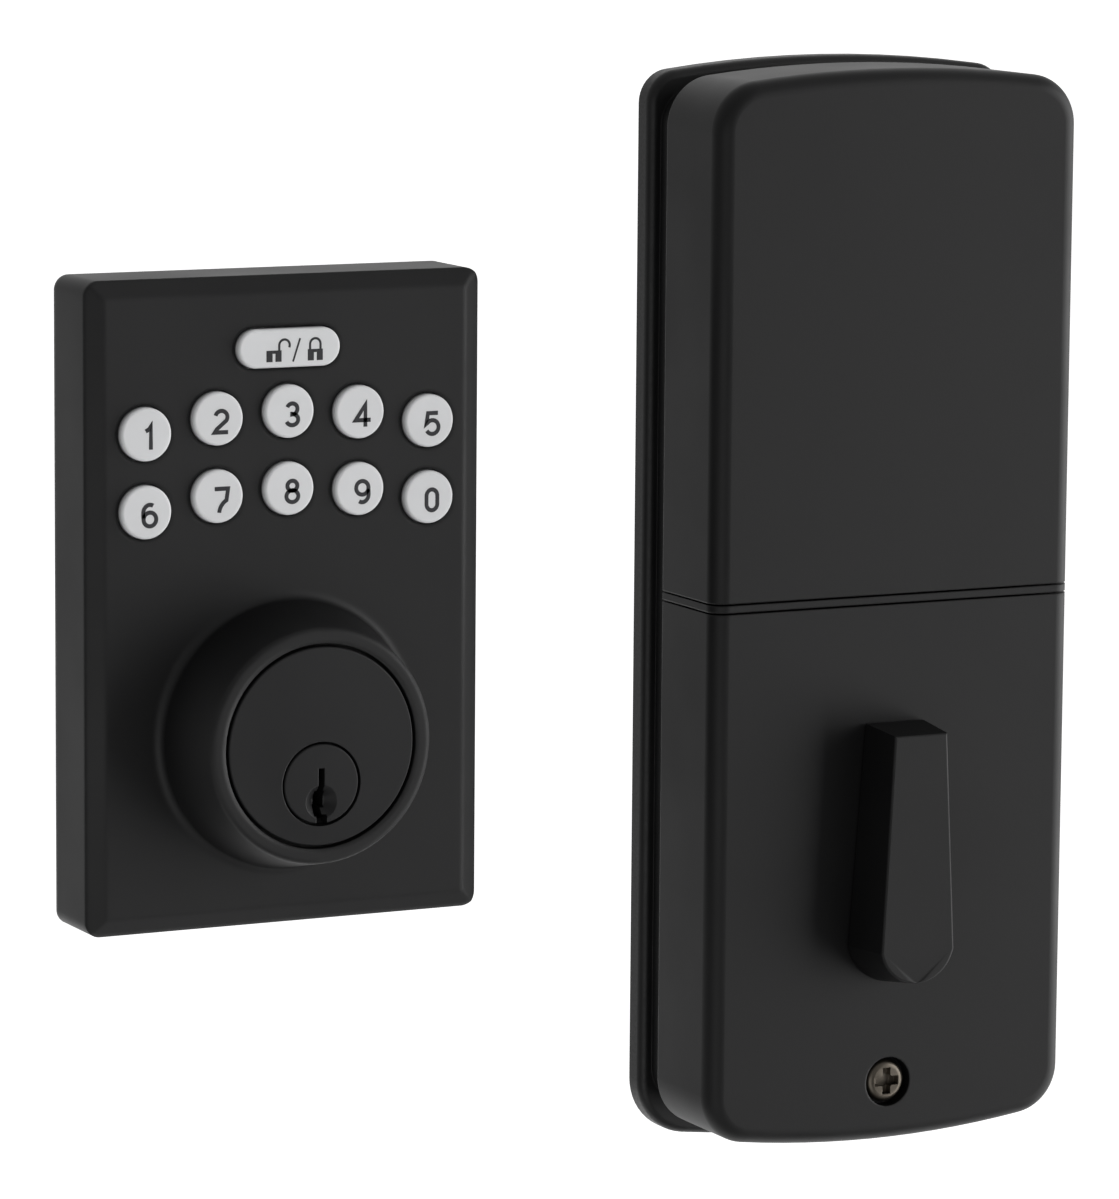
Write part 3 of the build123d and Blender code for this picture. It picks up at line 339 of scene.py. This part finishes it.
def rubber(name, dark, light):
    """Matte rubber or foam with a fine grain and a little dust."""
    kit = Shader(name)
    kit.set(metal=0.0, ior=1.45)
    grain = kit.noise(0.25 * MM, 3.0)
    dust = kit.noise(9 * MM, 4.0)
    kit.link(kit.shade(kit.spread(dust, 0.0, 1.0), dark, light), "Base Color")
    kit.link(kit.spread(grain, 0.72, 0.9), "Roughness")
    kit.bump([(grain, 0.5, 0.03 * MM)], kit.soft_edges(0.2 * MM))
    return kit.material


def circuit_board(name):
    """Green solder mask over copper runs, with the weave of the glass fibre just showing."""
    kit = Shader(name)
    kit.set(metal=0.0, ior=1.5)
    turned = kit.tree.nodes.new("ShaderNodeMapping")
    kit.tree.links.new(kit.where, turned.inputs["Vector"])
    turned.inputs["Rotation"].default_value = (math.radians(90), 0, 0)
    runs = kit.tree.nodes.new("ShaderNodeTexBrick")
    kit.tree.links.new(turned.outputs["Vector"], runs.inputs["Vector"])
    runs.inputs["Scale"].default_value = 1 / (9 * MM)
    runs.inputs["Mortar Size"].default_value = 0.022
    runs.inputs["Color1"].default_value = (0, 0, 0, 1)
    runs.inputs["Color2"].default_value = (0.1, 0.1, 0.1, 1)
    runs.inputs["Mortar"].default_value = (1, 1, 1, 1)
    copper = runs.outputs["Color"]
    kit.link(kit.shade(copper, (0.008, 0.085, 0.035), (0.03, 0.20, 0.085)), "Base Color")
    weave = kit.noise(0.4 * MM, 1.0)
    kit.link(kit.spread(weave, 0.28, 0.42), "Roughness")
    kit.bump([(copper, 0.6, 0.03 * MM), (weave, 0.2, 0.01 * MM)])
    return kit.material


CELL_BAND_START = 0.72                 # the share of the cell's height at which its band starts


def cell_sleeve(name):
    """An AA cell's sleeve: dark, with a bronze band near one end, under a clear gloss."""
    kit = Shader(name)
    kit.set(metal=0.0, ior=1.5)
    scuff = kit.noise(1.5 * MM, 5.0)
    low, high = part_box("aa_cells")
    parts = kit.tree.nodes.new("ShaderNodeSeparateXYZ")
    kit.tree.links.new(kit.where, parts.inputs[0])
    band = kit.math("GREATER_THAN", parts.outputs["Z"], low.z + CELL_BAND_START * (high.z - low.z))
    kit.link(kit.shade(band, (0.02, 0.021, 0.025), (0.42, 0.24, 0.10)), "Base Color")
    kit.link(kit.spread(scuff, 0.2, 0.34), "Roughness")
    kit.link(kit.math("MULTIPLY", band, 0.7), "Metallic")
    kit.bump([(scuff, 0.2, 0.01 * MM)], kit.soft_edges(0.3 * MM))
    return kit.material


def assign(material, *names):
    for name in names:
        mesh = NODES[name].data
        mesh.materials.clear()
        mesh.materials.append(material)


def finish_cad_nodes():
    coat = (0.0018, 0.0018, 0.0020), (0.0035, 0.0035, 0.0038)
    assign(coated_metal("black_powder_coat", *coat), "front_cover", "battery_cover", "divider_trim")
    assign(coated_metal("black_turn_coat", *coat, edge=0.12 * MM), "thumb_turn")
    plate_coat = (0.0035, 0.0035, 0.0038), (0.0060, 0.0060, 0.0064)
    assign(coated_metal("black_escutcheon_coat", *plate_coat, edge=1.3 * MM, ior=1.39), "keypad_escutcheon")
    cylinder_coat = (0.0065, 0.0065, 0.0070), (0.0090, 0.0090, 0.0095)
    fine = {"rough": 0.44, "grain": 0.2 * MM, "depth": 0.01 * MM, "edge": 0.2 * MM}
    assign(coated_metal("black_cylinder_finish", *cylinder_coat, **fine), "cylinder_body", "cylinder_plug")
    assign(moulded_plastic("black_base_plastic", (0.0025, 0.0025, 0.0028), (0.005, 0.005, 0.0053), 0.46),
           "interior_base", "battery_tray")
    key_grey = (0.73, 0.735, 0.745), (0.77, 0.775, 0.785)
    assign(moulded_plastic("grey_key_plastic", *key_grey, 0.42, scatter=0.15),
           "lock_button", *[f"key_{digit}" for digit in DIGIT_STROKES])
    assign(rubber("black_rubber", (0.015, 0.015, 0.015), (0.03, 0.03, 0.03)), "keypad_membrane", "door_seal")
    assign(circuit_board("green_circuit_board"), "keypad_board", "main_board")
    assign(moulded_plastic("chip_black", (0.012, 0.012, 0.013), (0.02, 0.02, 0.021), 0.5, grain=0.15 * MM),
           "keypad_chips", "cable_socket", "main_chips", "program_button", "position_sensors")
    assign(drawn_metal("zinc_plate", (0.50, 0.50, 0.49), (0.66, 0.66, 0.64), 0.36, ROLLED),
           "exterior_back_plate", "interior_mounting_plate", "gear_frame", "battery_contacts")
    assign(drawn_metal("turned_steel", (0.48, 0.48, 0.48), (0.62, 0.62, 0.62), 0.30),
           "mounting_posts", "back_plate_screws", "board_screws", "plug_retainer", "tailpiece",
           "cylinder_screws", "pin_springs", "base_screws", "through_bolts", "turn_spindle", "turn_screw",
           "idler_axle", "motor_shaft", "frame_screws", "battery_springs")
    assign(drawn_metal("bronze_screw", (0.075, 0.065, 0.052), (0.17, 0.15, 0.125), 0.34), "cover_screw")
    assign(drawn_metal("turned_brass", (0.58, 0.40, 0.16), (0.72, 0.53, 0.24), 0.28),
           "key_pins", "driver_pins", "front_bush", "rear_bush")
    assign(moulded_plastic("acetal", (0.66, 0.64, 0.58), (0.74, 0.72, 0.66), 0.38),
           "drive_gear", "idler_gear", "motor_pinion", "position_cam")
    assign(cell_sleeve("cell_sleeve"), "aa_cells")
    assign(drawn_metal("motor_can", (0.42, 0.42, 0.43), (0.55, 0.55, 0.56), 0.34), "drive_motor")


# ---------------------------------------------------------------- printed marks
INK_LIFT = 0.02 * MM
INK_THICK = 0.03 * MM
DIGIT_HEIGHT = 4.85 * MM
DIGIT_STROKE = 0.72 * MM
DIGIT_SHIFT = (0.5 * MM, -0.5 * MM)


def arc(centre, radius, start, stop, squash=1.0, steps=20):
    """Points along an arc, angles in degrees, anticlockwise from +X. squash scales its height."""
    points = []
    for step in range(steps + 1):
        angle = math.radians(start + (stop - start) * step / steps)
        points.append((centre[0] + radius * math.cos(angle), centre[1] + radius * squash * math.sin(angle)))
    return points


# Each digit is a list of strokes in a box 1 high, centred on 0. A stroke is a list of (x, z) points.
DIGIT_STROKES = {
    "1": [[(-0.17, 0.26), (-0.02, 0.34), (0.06, 0.46), (0.06, -0.5)]],
    "2": [arc((0.0, 0.19), 0.27, 165, -35, 0.96) + [(-0.20, -0.30), (-0.30, -0.44), (0.30, -0.44)]],
    "3": [arc((-0.01, 0.22), 0.235, 160, -90, 0.97) + arc((-0.01, -0.225), 0.27, 90, -160, 0.86)],
    "4": [[(0.12, -0.5), (0.12, 0.42), (-0.33, -0.22), (0.36, -0.22)]],
    "5": [[(0.26, 0.44), (-0.20, 0.44), (-0.27, 0.0)] + arc((0.0, -0.15), 0.29, 140, -150, 1.0)],
    "6": [arc((0.01, 0.12), 0.29, 60, 180, 1.12) + [(-0.28, -0.1)],
          arc((0.01, -0.16), 0.28, 0, 360, 1.02, 32)],
    "7": [[(-0.30, 0.44), (0.30, 0.44)] + arc((0.52, -0.62), 0.62, 118, 174, 1.05)],
    "8": [arc((0.0, 0.235), 0.225, 0, 360, 0.93, 32), arc((0.0, -0.20), 0.27, 0, 360, 0.91, 32)],
    "9": [arc((-0.01, 0.16), 0.28, 0, 360, 1.02, 32),
          [(0.27, 0.1)] + arc((-0.01, -0.12), 0.29, 0, -120, 1.12)],
    "0": [arc((0.0, 0.17), 0.25, 0, 180, 1.08) + arc((0.0, -0.17), 0.25, 180, 360, 1.08) + [(0.25, 0.17)]],
}


SAME_PLACE = 1e-6                      # a stroke whose ends are nearer than this is closed
SHARPEST_MITRE = 0.35                  # the least cosine that a corner is mitred with


def add_ribbon(bm, points, width, scale, centre, y):
    """A flat band of even width along a stroke, in the X-Z plane at a depth y."""
    closed = (Vector(points[0]) - Vector(points[-1])).length < SAME_PLACE
    line = [Vector(point) * scale for point in points]
    if closed:
        line = line[:-1]
    count = len(line)
    sides = []
    for index in range(count):
        before = line[index - 1] if closed or index else line[index]
        after = line[(index + 1) % count] if closed or index < count - 1 else line[index]
        into = (line[index] - before).normalized() if (line[index] - before).length else None
        out = (after - line[index]).normalized() if (after - line[index]).length else None
        into = into or out
        out = out or into
        normal_in, normal_out = Vector((-into.y, into.x)), Vector((-out.y, out.x))
        mitre = (normal_in + normal_out).normalized()
        reach = width / 2 / max(mitre.dot(normal_in), SHARPEST_MITRE)
        for side in (1, -1):
            place = line[index] + mitre * reach * side
            sides.append(bm.verts.new((centre[0] + place.x, y, centre[1] + place.y)))
    spans = count if closed else count - 1
    for index in range(spans):
        following = (index + 1) % count
        near, far = 2 * index, 2 * following
        bm.faces.new((sides[near], sides[near + 1], sides[far + 1], sides[far]))


def add_plate(bm, outline, scale, centre, y):
    """A filled outline in the X-Z plane at a depth y."""
    corners = [bm.verts.new((centre[0] + x * scale, y, centre[1] + z * scale)) for x, z in outline]
    bm.faces.new(corners)


WELD = 1e-7


def thicken(bm, depth):
    """Gives flat marks a thickness towards the front, and closes them."""
    bmesh.ops.remove_doubles(bm, verts=bm.verts, dist=WELD)
    bmesh.ops.recalc_face_normals(bm, faces=bm.faces)
    for face in bm.faces:
        if face.normal.y > 0:
            face.normal_flip()
    made = bmesh.ops.extrude_face_region(bm, geom=list(bm.faces))
    moved = [item for item in made["geom"] if isinstance(item, bmesh.types.BMVert)]
    bmesh.ops.translate(bm, verts=moved, vec=(0, -depth, 0))
    bmesh.ops.recalc_face_normals(bm, faces=bm.faces)


def mesh_piece(name, bm, material, body):
    """A new visible piece that moves with a body."""
    mesh = bpy.data.meshes.new(name)
    bm.to_mesh(mesh)
    bm.free()
    piece = bpy.data.objects.new(name, mesh)
    bpy.context.scene.collection.objects.link(piece)
    mesh.materials.append(material)
    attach(piece, body)
    return piece


def key_face(node):
    """The middle of a key's front face, and its depth."""
    low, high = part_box(node)
    return ((low.x + high.x) / 2, (low.z + high.z) / 2), low.y


def add_digits(ink):
    for digit, strokes in DIGIT_STROKES.items():
        (x, z), y = key_face(f"key_{digit}")
        centre = (x + DIGIT_SHIFT[0], z + DIGIT_SHIFT[1])
        bm = bmesh.new()
        for stroke in strokes:
            add_ribbon(bm, stroke, DIGIT_STROKE, DIGIT_HEIGHT - DIGIT_STROKE, centre, y + INK_LIFT)
        thicken(bm, INK_LIFT + INK_THICK)
        mesh_piece(f"digit_{digit}_print", bm, ink, f"digit_{digit}")


ICON_HEIGHT = 3.9 * MM
ICON_STROKE = 0.40 * MM
ICON_SHIFT = (1.25 * MM, -0.35 * MM)   # the marks' middle from the lock button's middle
OPEN_PADLOCK_X = -4.2 * MM
SHUT_PADLOCK_X = 3.5 * MM
SLASH = [(-0.17, -0.52), (0.17, 0.5)]
SLASH_STROKE = 0.8 * ICON_STROKE


def padlock(bm, centre, y, opened):
    """A small padlock: a solid body with a keyhole slot, and a shackle, swung aside when opened."""
    half, low, top, slot, bridge = 0.36, -0.5, 0.0, 0.07, 0.14
    for side in (-1, 1):
        outer, inner = sorted((side * half, side * slot))
        add_plate(bm, [(outer, low), (inner, low), (inner, top), (outer, top)], ICON_HEIGHT, centre, y)
    above = [(-slot, top - bridge), (slot, top - bridge), (slot, top), (-slot, top)]
    add_plate(bm, above, ICON_HEIGHT, centre, y)
    bow, bow_height = 0.25, 0.22
    swing = 0.5 if opened else 0.0
    stop = -25 if opened else 0
    line = [(swing - bow, top)] + arc((swing, bow_height), bow, 180, stop)
    if not opened:
        line.append((bow, top))
    add_ribbon(bm, line, ICON_STROKE, ICON_HEIGHT, centre, y)


def add_lock_icons(ink):
    (x, z), y = key_face("lock_button")
    depth = y + INK_LIFT
    centre = (x + ICON_SHIFT[0], z + ICON_SHIFT[1])
    bm = bmesh.new()
    padlock(bm, (centre[0] + OPEN_PADLOCK_X, centre[1]), depth, True)
    add_ribbon(bm, SLASH, SLASH_STROKE, ICON_HEIGHT, centre, depth)
    padlock(bm, (centre[0] + SHUT_PADLOCK_X, centre[1]), depth, False)
    thicken(bm, INK_LIFT + INK_THICK)
    mesh_piece("lock_icons_print", bm, ink, "lock_key")


# ---------------------------------------------------------------- gap ring, painted shade
RING_CENTRE_Z = 6.5 * MM
RING_INNER, RING_OUTER = 17.10 * MM, 17.80 * MM
RING_BACK, RING_FRONT = -27.9 * MM, -28.7 * MM
RING_STEPS = 96


def add_gap_shade_ring(material):
    """A thin near-black ring in the gap between the collar's bore and the cylinder: painted shade that keeps
    the gap dark.
    """
    bm = bmesh.new()
    corners = ((RING_INNER, RING_BACK), (RING_OUTER, RING_BACK),
               (RING_OUTER, RING_FRONT), (RING_INNER, RING_FRONT))
    loops = []
    for radius, y in corners:
        loop = []
        for step in range(RING_STEPS):
            turn = 2 * math.pi * step / RING_STEPS
            loop.append(bm.verts.new((radius * math.cos(turn), y, RING_CENTRE_Z + radius * math.sin(turn))))
        loops.append(loop)
    for first, second in zip(loops, loops[1:] + loops[:1]):
        for step in range(RING_STEPS):
            after = (step + 1) % RING_STEPS
            bm.faces.new((first[step], first[after], second[after], second[step]))
    bmesh.ops.recalc_face_normals(bm, faces=bm.faces)
    mesh_piece("cylinder_gap_shade_ring", bm, material, "housing")


SHARP_ANGLE = math.radians(28)


def smooth_cad_nodes():
    """Shades curved CAD faces smooth and keeps real edges sharp."""
    for node in NODES.values():
        mesh = node.data
        mesh.polygons.foreach_set("use_smooth", [True] * len(mesh.polygons))
        mesh.set_sharp_from_angle(angle=SHARP_ANGLE)


add_camera()
add_studio()
smooth_cad_nodes()
finish_cad_nodes()
grey_ink = moulded_plastic("dark_grey_ink", (0.022, 0.022, 0.026), (0.03, 0.03, 0.034), 0.5, grain=0.1 * MM)
add_digits(grey_ink)
add_lock_icons(grey_ink)
# the near-black ring in the cylinder's gap is painted shade, not a real part
add_gap_shade_ring(rubber("black_gap_shade", (0.006, 0.006, 0.006), (0.012, 0.012, 0.012)))
